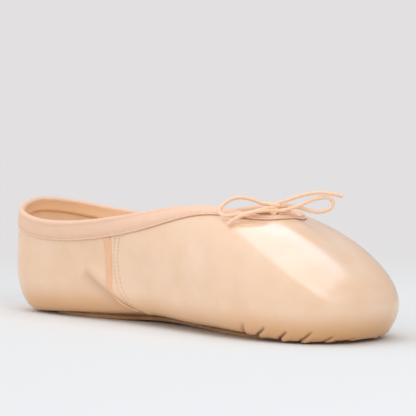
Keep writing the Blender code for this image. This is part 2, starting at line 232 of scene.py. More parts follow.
def cotton_cord():
    """Braided cotton: matt, with a soft diamond relief."""
    material, tree, shader = new_material("braided_cotton")
    uv = add(tree, "ShaderNodeUVMap", {}, uv_map="UVMap").outputs["UV"]
    waves = []
    for lean in (1.0, -1.0):
        turn = add(tree, "ShaderNodeMapping", {"Vector": uv, "Rotation": (0, 0, lean * BRAID_LEAN)})
        wave = add(
            tree, "ShaderNodeTexWave",
            {"Vector": turn.outputs["Vector"], "Scale": WAVE_BAND / STRAND, "Distortion": 0.4},
        )
        waves.append(wave.outputs["Fac"])
    braid = add(
        tree, "ShaderNodeMath", {0: waves[0], 1: waves[1]}, operation="MAXIMUM"
    ).outputs["Value"]
    color = add(
        tree, "ShaderNodeMix", {"Factor": braid, "A": paint("F3C8A3"), "B": paint("F7D3B1")},
        data_type="RGBA",
    )
    bump = add(
        tree, "ShaderNodeBump", {"Height": braid, "Strength": 0.2, "Distance": 0.08 * MM}
    )
    tree.links.new(color.outputs["Result"], shader.inputs["Base Color"])
    tree.links.new(bump.outputs["Normal"], shader.inputs["Normal"])
    shader.inputs["Roughness"].default_value = 0.7
    shader.inputs["Sheen Weight"].default_value = 0.2
    return material


CORD_MATERIAL = cotton_cord()
print("cord strands drawn", STRAND / MM, "mm wide")

# %% [markdown]
# ## The bow
# The two ends of the drawstring leave the casing at the middle of the throat and are tied in a
# little bow. Cord that is cut short is springy, so its loops and ends stand up by themselves. Each
# route is a short list of given points, and a smooth curve runs through them. A tube
# follows the curve: at each point a ring of the cord's radius stands square to it.

# %% Cord routes
CORD = 1.85                  # millimetres thick, with its fuzz
CORD_STEP = 0.5              # millimetres from ring to ring
CORD_AROUND = 16             # points round a ring
TIP_LONG = 0.6               # length of a rounded tip, as a share of the radius
CURVE_POINTS = 1200          # points along a smooth curve, before they are spaced evenly
# Each cord leaves the casing, passes through the knot, goes round its loop and comes back
# through the knot to its cut end.
ROUTES = {
    "near": (
        (176.4, -4.9, 59.2), (175.1, -6.1, 59.7), (173.9, -6.6, 60.4), (172.6, -7.0, 62.2),
        (171.8, -7.7, 63.1), (168.0, -10.5, 64.0), (164.5, -12.5, 65.5),
        (161.0, -15.0, 66.5), (158.0, -17.5, 66.5), (155.5, -21.0, 65.0), (154.0, -23.8, 62.5),
        (154.2, -25.8, 60.0), (157.0, -26.4, 58.6), (161.5, -24.9, 58.6), (165.5, -21.3, 59.4),
        (168.6, -17.4, 60.3), (170.6, -13.3, 61.2), (171.8, -10.0, 61.8), (173.2, -7.7, 61.7),
        (174.6, -6.4, 61.0), (175.0, -7.2, 60.5), (174.3, -9.1, 60.5),
        (172.8, -14.2, 60.9), (170.4, -19.2, 60.3), (168.1, -22.7, 59.3), (165.5, -25.2, 57.8),
        (163.8, -26.9, 56.2), (162.2, -28.2, 54.4),
    ),
    "far": (
        (178.0, -1.4, 59.4), (176.8, -3.6, 59.4), (175.2, -5.6, 59.6), (175.4, -6.4, 60.3),
        (177.0, -6.0, 60.6), (178.5, -4.2, 61.1), (180.0, -2.2, 61.8),
        (181.8, 0.3, 62.7), (183.3, 3.5, 64.0), (185.0, 7.0, 65.5), (187.0, 10.5, 66.3),
        (189.0, 13.3, 66.5), (190.7, 15.0, 65.4), (191.3, 15.3, 63.5), (190.8, 14.2, 61.5),
        (189.3, 12.3, 60.2), (187.0, 9.7, 59.6), (184.2, 7.2, 60.0), (181.6, 4.9, 61.0),
        (179.3, 2.2, 62.0), (177.4, -0.6, 62.6), (176.0, -3.0, 62.7), (174.4, -5.3, 62.6),
        (173.6, -6.3, 63.4), (175.4, -4.3, 64.7), (177.2, -1.8, 65.5),
        (179.0, 0.7, 66.6), (181.0, 3.5, 67.6), (183.5, 7.0, 68.5), (187.0, 10.8, 68.9),
        (190.5, 14.8, 68.4), (194.0, 18.7, 67.1),
    ),
}
print({side: len(route) for side, route in ROUTES.items()}, "points in the cords' routes")


# %% Smooth curves and tubes
def hermite(t, start, end, leaving, arriving):
    """A smooth curve from start to end, by its rates of change as it leaves and as it arrives."""
    return (
        (2 * t**3 - 3 * t**2 + 1) * start + (t**3 - 2 * t**2 + t) * leaving
        + (3 * t**2 - 2 * t**3) * end + (t**3 - t**2) * arriving
    )


def smooth_run(route, step):
    """Evenly spaced points along the smooth curve through a route's own points."""
    points = np.array(route, float)
    reach = run_lengths(points, 0)
    slopes = np.gradient(points, reach, axis=0)
    fine = np.linspace(0.0, reach[-1], CURVE_POINTS)
    index = np.clip(np.searchsorted(reach, fine, side="right") - 1, 0, len(reach) - 2)
    span = (reach[index + 1] - reach[index])[:, None]
    t = (fine - reach[index])[:, None] / span
    curve = hermite(
        t, points[index], points[index + 1], span * slopes[index], span * slopes[index + 1]
    )
    length = run_lengths(curve, 0)
    even = np.linspace(0.0, length[-1], round(length[-1] / step) + 1)
    return np.stack([np.interp(even, length, axis) for axis in curve.T], axis=1)


def tube(run, radius):
    """Rings of points square to a run with rounded tips, and the centre of every ring."""
    tip = np.radians((90, 60, 30))
    start = run[0] - run[1]
    end = run[-1] - run[-2]
    start *= TIP_LONG * radius / np.linalg.norm(start)
    end *= TIP_LONG * radius / np.linalg.norm(end)
    centres = np.concatenate([
        run[0] + np.sin(tip)[:, None] * start, run, run[-1] + np.sin(tip[::-1])[:, None] * end,
    ])
    radii = radius * np.concatenate([np.cos(tip), np.ones(len(run)), np.cos(tip[::-1])])
    ahead = np.gradient(centres, axis=0)
    ahead /= np.linalg.norm(ahead, axis=1)[:, None]
    side = np.cross(ahead[0], (0.0, 0.0, 1.0))
    angles = np.linspace(0, 2 * math.pi, CORD_AROUND + 1)
    rings = []
    for centre, forward, size in zip(centres, ahead, radii):
        side = side - forward * side.dot(forward)
        side /= np.linalg.norm(side)
        upward = np.cross(side, forward)
        ring = np.cos(angles)[:, None] * side + np.sin(angles)[:, None] * upward
        rings.append(centre + size * ring)
    return np.array(rings), centres


# %% [markdown]
# ## The knot
# A knot in soft cord is a stack of tight turns. Each turn is a small ring of the same cord, made
# by letting the tube run round a circle that is flattened and tilted a little. The lowest turn
# pokes out at the front, as the end of a wrapped cord does.

# %% Knot
BOW_TURN = math.radians(44)  # from the shoe's length to the bow's
TURN_POINTS = 25             # points round a turn
# each turn's centre, radius along the bow, radius through it, and tilt in degrees
TURNS = (
    ((173.8, -6.0, 63.1), 1.4, 1.0, 4),
    ((173.7, -6.1, 61.4), 0.5, 0.5, -6),
    ((173.9, -8.6, 59.3), 0.8, 0.8, 8),
)


def turn_run(centre, wide, deep, tilt):
    """Points round one turn of the knot."""
    angles = np.linspace(0, 2 * math.pi, TURN_POINTS)
    ring = np.stack([wide * np.cos(angles), deep * np.sin(angles), 0 * angles], axis=1)
    turn = Matrix.Rotation(BOW_TURN, 3, "Z") @ Matrix.Rotation(math.radians(tilt), 3, "Y")
    return np.array(centre) + ring @ np.array(turn).T


def join(name, meshes):
    """One mesh from several."""
    maker = bmesh.new()
    maker.loops.layers.uv.new("UVMap")
    for mesh in meshes:
        maker.from_mesh(mesh)
    joined = bpy.data.meshes.new(name)
    maker.to_mesh(joined)
    maker.free()
    return joined


knot_meshes = [grid_skin("turn", tube(turn_run(*turn), CORD / 2)[0]) for turn in TURNS]
knot = show("bow_turns", join("bow_turns", knot_meshes), CORD_MATERIAL, "cord", "bow_knot")

# %% Drawstring
for side, pieces in (("near", [knot]), ("far", [])):
    rings, centres = tube(smooth_run(ROUTES[side], CORD_STEP), CORD / 2)
    cord = show(
        f"bow_cord_{side}", grid_skin(f"bow_cord_{side}", rings), CORD_MATERIAL, "cord",
        f"bow_loop_{side}", f"bow_end_{side}",
    )

# %% [markdown]
# ## The last
# Everything else follows the last, the foot-shaped form that the shoe is pulled over. The table
# below is the same one that the solids were made from: a row for each section, from the back of
# the heel along the near side to the toe. Smooth curves run round the shoe through the rows, and
# each section is a rounded corner below the widest point and another one above it.

# %% Last table
GAP = 0.3                    # millimetres left between two pieces
WALL = 1.6                   # millimetres of satin, canvas and lining together
SOLE_THICK = 2.2
SEAT_Z = SOLE_THICK + GAP    # height of the upper's lasted edge
SEAT_OUT = 1.0               # how far the lasted edge shows outside the outsole
LAP = 6.0                    # how far it reaches in, over the outsole
WAIST_FROM = 66.0            # the sole arches up between these two lengths
WAIST_TO = 144.0
WAIST_ARCH = 1.2
TOE_FROM = 206.0             # the sole springs up from here to the toe
TOE_SPRING = 1.2
RIM_DROP = 2.2               # how far below the rim the satin ends, inside the casing

# x, y, wide_z: the widest outline; rim: the collar's rim; casing: width of the casing there;
# shoulder_z: corner above the widest outline; low, top: how full the two rounded corners are;
# tuck, under_z: how far in and how high the low corner starts; sole: the outsole's outline
COLUMNS = (
    "x", "y", "wide_z", "rim_x", "rim_y", "rim_z", "casing", "shoulder_z",
    "low", "top", "tuck", "under_z", "sole_x", "sole_y",
)
SECTIONS = (
    (0.0, 0.0, 26.0, 2.8, 0.0, 57.0, 8.8, 42.0, 0.75, 1.0, 11.0, 1.0, 24.0, 0.0),
    (5.0, 18.0, 25.5, 6.6, 15.0, 55.5, 8.8, 42.0, 0.75, 1.0, 11.0, 1.0, 26.0, 8.5),
    (19.5, 27.5, 24.5, 15.5, 26.0, 52.0, 8.8, 41.0, 0.75, 1.0, 10.0, 1.0, 33.0, 15.5),
    (42.0, 28.5, 23.0, 35.0, 30.5, 49.0, 8.8, 40.0, 0.8, 1.0, 8.5, 2.2, 47.0, 18.0),
    (68.0, 27.5, 20.5, 59.5, 29.5, 50.0, 8.8, 41.0, 0.85, 1.0, 8.0, 3.5, 70.0, 15.5),
    (96.0, 28.0, 19.0, 86.0, 26.0, 54.0, 8.8, 45.0, 0.95, 1.0, 11.0, 3.7, 96.0, 12.5),
    (125.0, 32.0, 18.0, 111.0, 22.0, 58.5, 8.8, 50.0, 1.0, 1.0, 10.5, 3.8, 124.0, 14.0),
    (152.0, 36.5, 17.0, 132.0, 19.0, 61.0, 7.8, 53.0, 1.0, 1.0, 10.0, 3.9, 149.0, 20.5),
    (178.0, 38.5, 16.0, 149.0, 16.5, 60.5, 7.0, 52.0, 1.0, 1.0, 9.0, 2.9, 173.0, 25.5),
    (202.0, 35.5, 15.5, 163.0, 14.0, 58.5, 5.2, 48.0, 0.85, 1.0, 8.0, 1.2, 192.0, 23.0),
    (220.5, 28.5, 16.0, 171.7, 10.5, 58.0, 4.4, 41.5, 0.6, 1.0, 8.5, 1.1, 206.0, 17.0),
    (231.0, 18.5, 17.0, 175.4, 6.5, 58.1, 4.1, 36.0, 0.4, 1.0, 8.5, 1.5, 215.0, 10.5),
    (234.5, 9.5, 17.5, 176.8, 3.0, 58.1, 3.8, 32.5, 0.38, 1.05, 8.0, 1.3, 218.5, 5.0),
    (235.0, 0.0, 18.0, 177.3, 0.0, 57.9, 3.6, 32.0, 0.38, 1.1, 8.0, 1.3, 219.5, 0.0),
)
# The far side's collar is not quite the near side's and has mostly slumped: section number, and
# how far its rim sags there
FAR_SAG = {
    2: -0.9, 3: -1.3, 5: 1.8, 6: 3.6, 7: 3.0, 8: 1.0, 10: 1.0, 11: 1.3, 12: 0.9,
}
TOE = len(SECTIONS) - 1
ROUND = 2 * TOE


def loop_table():
    """The near side's rows, then the far side's back to the heel."""
    mirrored = [COLUMNS.index(name) for name in ("y", "rim_y", "sole_y")]
    near = np.array(SECTIONS)
    far = np.array(SECTIONS[TOE - 1:0:-1])
    near[:, mirrored] *= -1
    for row, number in enumerate(range(TOE - 1, 0, -1)):
        far[row, COLUMNS.index("rim_z")] -= FAR_SAG.get(number, 0.0)
    return np.vstack([near, far])


def periodic_slopes(rows):
    """Slopes of the smooth closed curve through evenly numbered rows."""
    count = len(rows)
    matrix = 4 * np.eye(count) + np.roll(np.eye(count), 1, 0) + np.roll(np.eye(count), -1, 0)
    return np.linalg.solve(matrix, 3 * (np.roll(rows, -1, 0) - np.roll(rows, 1, 0)))


TABLE = loop_table()
SLOPES = periodic_slopes(TABLE)
print(len(TABLE), "sections round the last")


# %% Last surface
def station(s):
    """Every column of the table at station s, and its rate of change."""
    s = np.asarray(s, float) % ROUND
    low = np.floor(s).astype(int)
    high = (low + 1) % ROUND
    t = (s - low)[..., None]
    a, b, da, db = TABLE[low], TABLE[high], SLOPES[low], SLOPES[high]
    value = hermite(t, a, b, da, db)
    rate = 6 * (t**2 - t) * (a - b) + (3 * t**2 - 4 * t + 1) * da + (3 * t**2 - 2 * t) * db
    return (
        dict(zip(COLUMNS, np.moveaxis(value, -1, 0))),
        dict(zip(COLUMNS, np.moveaxis(rate, -1, 0))),
    )


def lift(x):
    """Height of the sole's underside above the floor: waist arch and toe spring."""
    waist = ramp(x, WAIST_FROM, WAIST_TO)
    toe = ramp(x, TOE_FROM, LENGTH)
    return WAIST_ARCH * np.sin(math.pi * waist) ** 2 + TOE_SPRING * toe**2


def outward(rates, x, y):
    """Unit vector in plan that points out of the outline with columns x and y."""
    size = np.hypot(rates[x], rates[y])
    return rates[y] / size, -rates[x] / size


def sole_line(s, out=0.0):
    """The outsole's outline, grown outward by out."""
    row, rate = station(s)
    nx, ny = outward(rate, "sole_x", "sole_y")
    return row["sole_x"] + nx * out, row["sole_y"] + ny * out


print("the outsole is", round(float(np.ptp(sole_line(np.linspace(0, ROUND, 99))[0])), 1), "mm long")


# %% Sections of the last
def conic(start, corner, end, fullness, t):
    """A rounded corner from start to end; a larger fullness lies nearer to the corner."""
    weight = 2 * fullness * t * (1 - t)
    bottom = (1 - t) ** 2 + weight + t**2
    return ((1 - t) ** 2 * start + weight * corner + t**2 * end) / bottom


def section(s, part, t):
    """A point of the outer surface. part is "seat", "low" or "top", and t runs 0 to 1."""
    row, rate = station(s)
    nx, ny = outward(rate, "x", "y")
    inner_x = row["x"] - nx * row["tuck"]
    inner_y = row["y"] - ny * row["tuck"]
    floor = np.stack([inner_x, inner_y, row["under_z"] + lift(inner_x)])
    widest = np.stack([row["x"], row["y"], row["wide_z"]])
    if part == "seat":
        lap_x, lap_y = sole_line(s, t * (LAP + SEAT_OUT) - LAP)
        return np.stack([lap_x, lap_y, SEAT_Z + lift(lap_x)])
    if part == "low":
        corner = np.stack([row["x"], row["y"], row["under_z"] + lift(row["x"])])
        return conic(floor, corner, widest, row["low"], t)
    corner = np.stack([row["x"], row["y"], row["shoulder_z"]])
    rim = np.stack([row["rim_x"], row["rim_y"], row["rim_z"]])
    return conic(widest, corner, rim, row["top"], t)


# %% [markdown]
# ## Depth below the rim
# The casing keeps its width all round the collar, so its rows are measured in millimetres down
# from the rim, square to it. This function finds where on each section that depth lies.

# %% Depth below the rim
FINE = np.linspace(0.0, 1.05, 211)  # past 1, so that a depth just above the rim is found too
NUDGE = 0.02                 # stations, for the direction of the surface at a point


def rim_t(s, drop):
    """For each station, where the surface lies drop below the rim, square to the rim."""
    s = np.atleast_1d(np.asarray(s, float))
    run = np.moveaxis(section(s[:, None], "top", FINE[None, :]), 0, -1)
    length = run_lengths(run, 1)
    rate = station(s)[1]
    rim = np.stack([rate["rim_x"], rate["rim_y"], rate["rim_z"]], axis=-1)
    rise = (section(s, "top", 1.0) - section(s, "top", 0.95)).T
    square = np.linalg.norm(np.cross(rim, rise), axis=1)
    square /= np.linalg.norm(rim, axis=1) * np.linalg.norm(rise, axis=1)
    drops = np.broadcast_to(drop, s.shape)
    found = [
        np.interp(np.interp(1.0, FINE, row) - down / share, row, FINE)
        for row, share, down in zip(length, square, drops)
    ]
    return np.array(found)


print("the casing ends at t =", rim_t([0, TOE], TABLE[[0, TOE], COLUMNS.index("casing")]).round(2))


def below_rim(s, drop):
    """Points of the outer surface that lie drop below the rim."""
    return section(s, "top", rim_t(s, drop))


def grid_normals(points):
    """Unit normals of a grid that is closed round its columns; the last repeats the first."""
    ring = points[:-1]
    along = np.roll(ring, -1, 0) - np.roll(ring, 1, 0)
    across = np.gradient(ring, axis=1)
    normal = np.cross(along, across)
    normal /= np.linalg.norm(normal, axis=-1)[..., None]
    return np.concatenate([normal, normal[:1]])


# %% [markdown]
# ## Folds and pleats
# Satin pulled over a last cannot shrink, so its spare width goes into pleats under the toe, and
# the side seam drags a long soft fold down to the waist. Each fold is one row of a table: the line
# that it follows, given as station and height, and the shape across the line in millimetres. A
# vertex near the line moves out or in along its normal. That is how a sculptor would do it, a
# stroke for each fold, and it keeps folds where the table puts them. No trough is as deep as the
# satin is thick, or its inner face would come through at the bottom.

# %% Fold table
# line: (station, height) pairs. Height 0 is the sole's edge, 1 the widest outline, 2 the rim.
# deep: depth of the trough; lip: height of the swelling beside it, on the toe side or above
# before, after: how wide the trough is on either side of the line
# shade: how much painted shade darkens the cloth down in it
FOLDS = [
    # pleats of the near side, heel to toe
    dict(line=((7.98, 0.0), (8.0, 0.3), (8.12, 0.7)),
         deep=0.9, lip=0.35, before=1.5, after=0.9, shade=0.4),
    dict(line=((8.26, 0.0), (8.38, 0.3), (8.64, 0.64)),
         deep=1.25, lip=0.7, before=0.85, after=0.45, shade=1.0),
    dict(line=((8.84, 0.0), (8.93, 0.28), (9.17, 0.58)),
         deep=1.25, lip=0.7, before=0.85, after=0.45, shade=1.0),
    dict(line=((9.34, 0.0), (9.48, 0.25), (9.83, 0.55)),
         deep=1.15, lip=0.6, before=0.75, after=0.4, shade=0.95),
    dict(line=((10.1, 0.0), (10.2, 0.15), (10.52, 0.37)),
         deep=1.0, lip=0.5, before=0.7, after=0.4, shade=0.8),
    dict(line=((11.2, 0.0), (11.5, 0.12), (11.95, 0.2)),
         deep=0.5, lip=0.3, before=0.8, after=0.5, shade=0.4),
    # pleats of the far side
    dict(line=((ROUND - 8.1, 0.0), (ROUND - 8.3, 0.6)),
         deep=0.9, lip=0.4, before=0.9, after=0.6, shade=0.4),
    dict(line=((ROUND - 8.7, 0.0), (ROUND - 8.95, 0.6)),
         deep=1.2, lip=0.7, before=0.7, after=0.45, shade=0.9),
    dict(line=((ROUND - 9.3, 0.0), (ROUND - 9.6, 0.55)),
         deep=1.15, lip=0.6, before=0.7, after=0.45, shade=0.8),
    dict(line=((ROUND - 9.95, 0.0), (ROUND - 10.3, 0.5)),
         deep=1.1, lip=0.5, before=0.6, after=0.4, shade=0.7),
    dict(line=((ROUND - 10.8, 0.0), (ROUND - 11.2, 0.35)),
         deep=0.8, lip=0.4, before=0.7, after=0.4, shade=0.6),
    dict(line=((ROUND - 12.0, 0.0), (ROUND - 12.2, 0.2)),
         deep=0.5, lip=0.3, before=0.8, after=0.5, shade=0.4),
    # the fold that the side seam drags down to the waist, near side
    dict(line=((5.2, 0.2), (5.1, 0.36), (4.66, 0.67), (4.32, 0.87), (4.0, 1.03), (3.8, 1.12)),
         deep=0.7, lip=0.75, before=4.5, after=1.2, shade=0.28),
    # the same on the far side, flatter
    dict(line=((ROUND - 5.1, 0.2), (ROUND - 4.7, 0.6), (ROUND - 4.2, 0.95), (ROUND - 3.9, 1.1)),
         deep=0.5, lip=0.6, before=4.0, after=1.6, shade=0.15),
]
print(len(FOLDS), "folds")

# %% Fold relief
# the swelling stands this many widths, and this many millimetres more, beside the line
LIP_WIDTHS, LIP_OUT = 2.2, 0.8
EDGE_FADE = 0.25             # share of a fold's length over which it fades at its upper end
FADE_POWER = 0.7             # below 1, a fold keeps its depth longer and then ends sooner
PAST_END = 0.3               # millimetres past the line's ends before the fold stops
SHADED = 0.95                # share of the trough's width that is painted darker, as shade
FOLD_POINTS = 60             # points along a fold's line
FOLD_REACH = 4               # widths from the line within which points are moved


def surface_point(s, height):
    """A point of the outer surface by station and height, 0 to 2."""
    low = section(s, "low", np.clip(height, 0.0, 1.0))
    top = section(s, "top", np.clip(height - 1.0, 0.0, 1.0))
    return np.where(np.asarray(height) <= 1.0, low, top).T


def fold_relief(points, normals):
    """Height to add to every point of the outer surface for all the folds, and the painted shade in
    their troughs.
    """
    relief = np.zeros(points.shape[:2])
    crease_painted_shade = np.zeros(points.shape[:2])
    for fold in FOLDS:
        line = np.array(fold["line"])
        t = np.linspace(0, len(line) - 1, FOLD_POINTS)
        s = np.interp(t, range(len(line)), line[:, 0])
        height = np.interp(t, range(len(line)), line[:, 1])
        run = surface_point(s, height)
        ahead = np.gradient(run, axis=0)
        ahead /= np.linalg.norm(ahead, axis=1)[:, None]
        reach = FOLD_REACH * max(fold["before"], fold["after"])
        near = np.all(
            (points > run.min(axis=0) - reach) & (points < run.max(axis=0) + reach), axis=-1
        )
        spot = points[near]
        gap = spot[:, None, :] - run[None, :, :]
        index = np.argmin(np.sum(gap**2, axis=-1), axis=1)
        offset = gap[np.arange(len(spot)), index]
        side = np.cross(normals[near], ahead[index])
        if s.mean() > TOE:
            side = -side
        # positive on the toe side of a line that climbs from the sole
        x = -np.sum(offset * side, axis=-1)
        end = np.sum(offset * ahead[index], axis=-1)
        past = np.clip(np.abs(end) - PAST_END, 0.0, None)
        along = index / (len(run) - 1)
        fade = ramp(1.0 - along, 0.0, EDGE_FADE) ** FADE_POWER * np.exp(-past**2)
        wide = np.where(x < 0, fold["before"], fold["after"])
        trough = -fold["deep"] * np.exp(-((x / wide) ** 2))
        beside = LIP_WIDTHS * fold["after"] + LIP_OUT
        lip = fold["lip"] * np.exp(-(((x - beside) / beside) ** 2)) * (x > -fold["before"])
        relief[near] += (trough + lip) * fade
        # painted shade: the cloth is darkened down in each trough
        core = np.exp(-((x / (SHADED * wide)) ** 2))
        crease_painted_shade[near] += fold["shade"] * core * np.sqrt(fade)
    return relief, np.clip(crease_painted_shade, 0.0, 1.0)


# %% [markdown]
# ## Satin
# Satin floats its warp over many weft threads, which gives one smooth and shiny face. Pasted to
# its canvas and pulled tight over the last, it gleams as if it were coated. So the shader has two
# layers: a dull one of middling roughness for the cloth, and a fairly sharp clear coat over it for
# the bright highlight. Noise stretched along the warp breaks up the gloss. Real warp threads are
# 0.1 mm apart; they are drawn 0.3 mm apart here so that they show. The peach colour is faintly
# mottled. Low down, where the cloth turns under to the leather, it is painted darker and warmer:
# painted shade and painted warm bounce light. In the folds it is painted dark brown: painted shade.

# %% Satin material
THREAD = 0.3 * MM
SATIN_MOTTLE = 18 * MM       # size of the faint patches
PAINTED_SHADE_FROM = 18 * MM          # height below which the painted warm shade begins
PAINTED_SHADE_TO = 4 * MM             # height below which it is full


def peach_satin():
    """Polyester satin, peach pink: silky, with fine lengthwise threads."""
    material, tree, shader = new_material("peach_satin")
    uv = add(tree, "ShaderNodeUVMap", {}, uv_map="UVMap").outputs["UV"]
    stretch = add(tree, "ShaderNodeMapping", {"Vector": uv, "Scale": (1.0, 0.12, 1.0)})
    threads = add(
        tree, "ShaderNodeTexNoise",
        {"Vector": stretch.outputs["Vector"], "Scale": 1 / THREAD, "Detail": 2.0},
    ).outputs["Fac"]
    place_on = add(tree, "ShaderNodeTexCoord", {}).outputs["Object"]
    mottle = add(
        tree, "ShaderNodeTexNoise", {"Vector": place_on, "Scale": 1 / SATIN_MOTTLE, "Detail": 3.0}
    ).outputs["Fac"]
    mottle = add(
        tree, "ShaderNodeMapRange", {"Value": mottle, "From Min": 0.35, "From Max": 0.65}
    ).outputs["Result"]
    color = add(
        tree, "ShaderNodeMix", {"Factor": mottle, "A": paint("EDC6A2"), "B": paint("F1CFB0")},
        data_type="RGBA",
    )
    gloss = add(
        tree, "ShaderNodeMapRange",
        {"Value": threads, "From Min": 0.3, "From Max": 0.7, "To Min": 0.36, "To Max": 0.48},
    )
    bump = add(
        tree, "ShaderNodeBump", {"Height": threads, "Strength": 0.25, "Distance": 0.05 * MM}
    )
    # painted shade and painted warm bounce light: the colour turns darker and warmer low on the shoe
    height = add(tree, "ShaderNodeSeparateXYZ", {"Vector": place_on}).outputs["Z"]
    low = add(
        tree, "ShaderNodeMapRange",
        {"Value": height, "From Min": PAINTED_SHADE_FROM, "From Max": PAINTED_SHADE_TO},
        interpolation_type="SMOOTHSTEP",
    ).outputs["Result"]
    color = add(
        tree, "ShaderNodeMix",
        {"Factor": low, "A": color.outputs["Result"], "B": paint("DCA873")}, data_type="RGBA",
    )
    # painted shade: dark brown is mixed in where the folds' troughs lie
    fold = add(tree, "ShaderNodeAttribute", {}, attribute_name="painted_light_and_shade").outputs["Fac"]
    color = add(
        tree, "ShaderNodeMix",
        {"Factor": fold, "A": color.outputs["Result"], "B": paint("8A4A22")}, data_type="RGBA",
    )
    tree.links.new(color.outputs["Result"], shader.inputs["Base Color"])
    tree.links.new(gloss.outputs["Result"], shader.inputs["Roughness"])
    tree.links.new(bump.outputs["Normal"], shader.inputs["Normal"])
    shader.inputs["IOR"].default_value = 1.5
    shader.inputs["Specular IOR Level"].default_value = 0.1
    shader.inputs["Coat Weight"].default_value = 1.0
    shader.inputs["Coat IOR"].default_value = 1.7
    shader.inputs["Coat Roughness"].default_value = 0.2
    return material


SATIN = peach_satin()
print("satin threads drawn", THREAD / MM, "mm apart")

# %% [markdown]
# ## The satin upper
# The outer cloth is one closed skin: up the outside from under the insole, over its cut edge
# inside the casing, and back down on the inside. The columns stand close together round the toe,
# where the pleats need them, and wide apart at the heel. A mirror-like surface shows every faint
# wave, so the toe is evened out before the folds are added: each point there moves to a weighted
# mean of its neighbours along the shoe, taken twice so that the broad curves don't shrink.

# %% Upper columns
HEEL_STEP = 1.1              # millimetres between columns
TOE_STEP = 0.42
PLEATED = (7.3, ROUND - 7.3)  # stations between which the columns stand close
STEP_CHANGE = 0.5            # stations over which the spacing changes
STATION_POINTS = 2601


def column_stations():
    """Stations of the columns, spaced by the step that each place needs."""
    s = np.linspace(0, ROUND, STATION_POINTS)
    rate = station(s)[1]
    speed = np.hypot(rate["x"], rate["y"])
    start, end = PLEATED
    pleated = ramp(s, start, start + STEP_CHANGE) * ramp(s, end, end - STEP_CHANGE)
    step = HEEL_STEP + (TOE_STEP - HEEL_STEP) * pleated
    count = np.concatenate([[0.0], np.cumsum((speed / step)[:-1] * np.diff(s))])
    return np.interp(np.linspace(0, count[-1], round(count[-1]) + 1), count, s)


S = column_stations()
print(len(S), "columns")


# %% Upper rows
SEAT_SHARES = (0.0, 0.5, 1.0)  # rows on the lasted edge, from the inside out
LOW_ROWS = 28                # rows up to the widest outline
TOP_ROWS = 32                # rows from there to the casing
EDGE_SHARES = (0.33, 0.67, 1.0)  # rows from the casing's lower edge up to the satin's own


def outer_rows(s, low_rows, top_rows):
    """Rows of the outer surface from the insole's edge up to under the casing."""
    rows = [section(s, "seat", t) for t in SEAT_SHARES]
    rows += [section(s, "low", t) for t in np.linspace(0, 1, low_rows + 1)]
    wide = station(s)[0]["casing"]
    casing = rim_t(s, wide)
    rows += [section(s, "top", casing * t) for t in np.linspace(0, 1, top_rows + 1)[1:]]
    rows += [below_rim(s, wide + (RIM_DROP - wide) * t) for t in EDGE_SHARES]
    return np.moveaxis(np.array(rows), (0, 1, 2), (1, 2, 0))


# %% An even toe
EVEN_REACH = 9.0             # millimetres along the shoe that count as neighbours
EVEN_FROM = 8.0              # station where the evening begins, full after one station more
LOW_ROW = 12                 # row where it begins, low on the side
WIDE_ROW = len(SEAT_SHARES) + LOW_ROWS
TOP_ROW = WIDE_ROW + TOP_ROWS
LOW_CHANGE, TOP_CHANGE = 8, 4  # rows over which it begins and ends


def even_out(points, s, reach):
    """Take the faint waves of the table out of the toe; broad curves keep their shape."""
    wide_row = points[:, WIDE_ROW]
    along = run_lengths(wide_row, 0)
    round_trip = along[-1]
    gap = np.abs(along[:, None] - along[None, :])
    gap = np.minimum(gap, round_trip - gap)
    share = np.gradient(along)
    share[[0, -1]] /= 2
    weight = np.exp(-((gap / reach) ** 2) / 2) * share
    weight /= weight.sum(axis=1)[:, None]
    flat = points.reshape(len(points), -1)
    rough = weight @ flat
    smooth = (rough + weight @ (flat - rough)).reshape(points.shape)
    toe = ramp(s, EVEN_FROM, EVEN_FROM + 1) * ramp(s, ROUND - EVEN_FROM, ROUND - EVEN_FROM - 1)
    rows = np.arange(points.shape[1])
    band = ramp(rows, LOW_ROW, LOW_ROW + LOW_CHANGE) * ramp(rows, TOP_ROW, TOP_ROW - TOP_CHANGE)
    mix = (toe[:, None] * band[None, :])[..., None]
    return points + (smooth - points) * mix


outer = outer_rows(S, LOW_ROWS, TOP_ROWS)
outer = even_out(outer, S, EVEN_REACH)
outer_normals = grid_normals(outer)
print("upper grid", outer.shape[0], "columns by", outer.shape[1], "rows")


# %% Upper skin
SATIN_THICK = 1.3
INNER_SKIP = 3               # the satin's inner face keeps one row in three


def closed_wall(outer, normals, relief, thick, skip):
    """Outer rows with their relief, then one in every skip of them, back down on the inside."""
    face = outer + normals * relief[..., None]
    inner = (outer - normals * thick)[:, ::-1]
    kept = [0, *range(1, inner.shape[1] - 1, skip), inner.shape[1] - 1]
    inner = inner[:, kept]
    return np.concatenate([face, inner, face[:, :1]], axis=1)


relief, crease_painted_shade = fold_relief(outer, outer_normals)
wall = closed_wall(outer, outer_normals, relief, SATIN_THICK, INNER_SKIP)
shade = np.zeros(wall.shape[:2])
shade[:, :crease_painted_shade.shape[1]] = crease_painted_shade
shade[:, -1] = crease_painted_shade[:, 0]
show("satin_upper", grid_skin("satin_upper", wall, shade), SATIN, "satin", "upper")

# %% [markdown]
# ## Cotton
# The casing, the side seams' tape and the lining are cotton twill: matt, with fine slanting ribs.
# The casing's strip is pressed, so it is smoother than the others. Its turned-in side lies in shade
# inside the collar and is painted lighter and warmer: painted light. Real ribs are 0.45 mm apart;
# they are drawn 0.9 mm apart here so that they show.

# %% Cotton material
RIB = 0.9 * MM
RIB_LEAN = 0.8               # radians
COTTON_MOTTLE = 6 * MM       # size of the faint patches


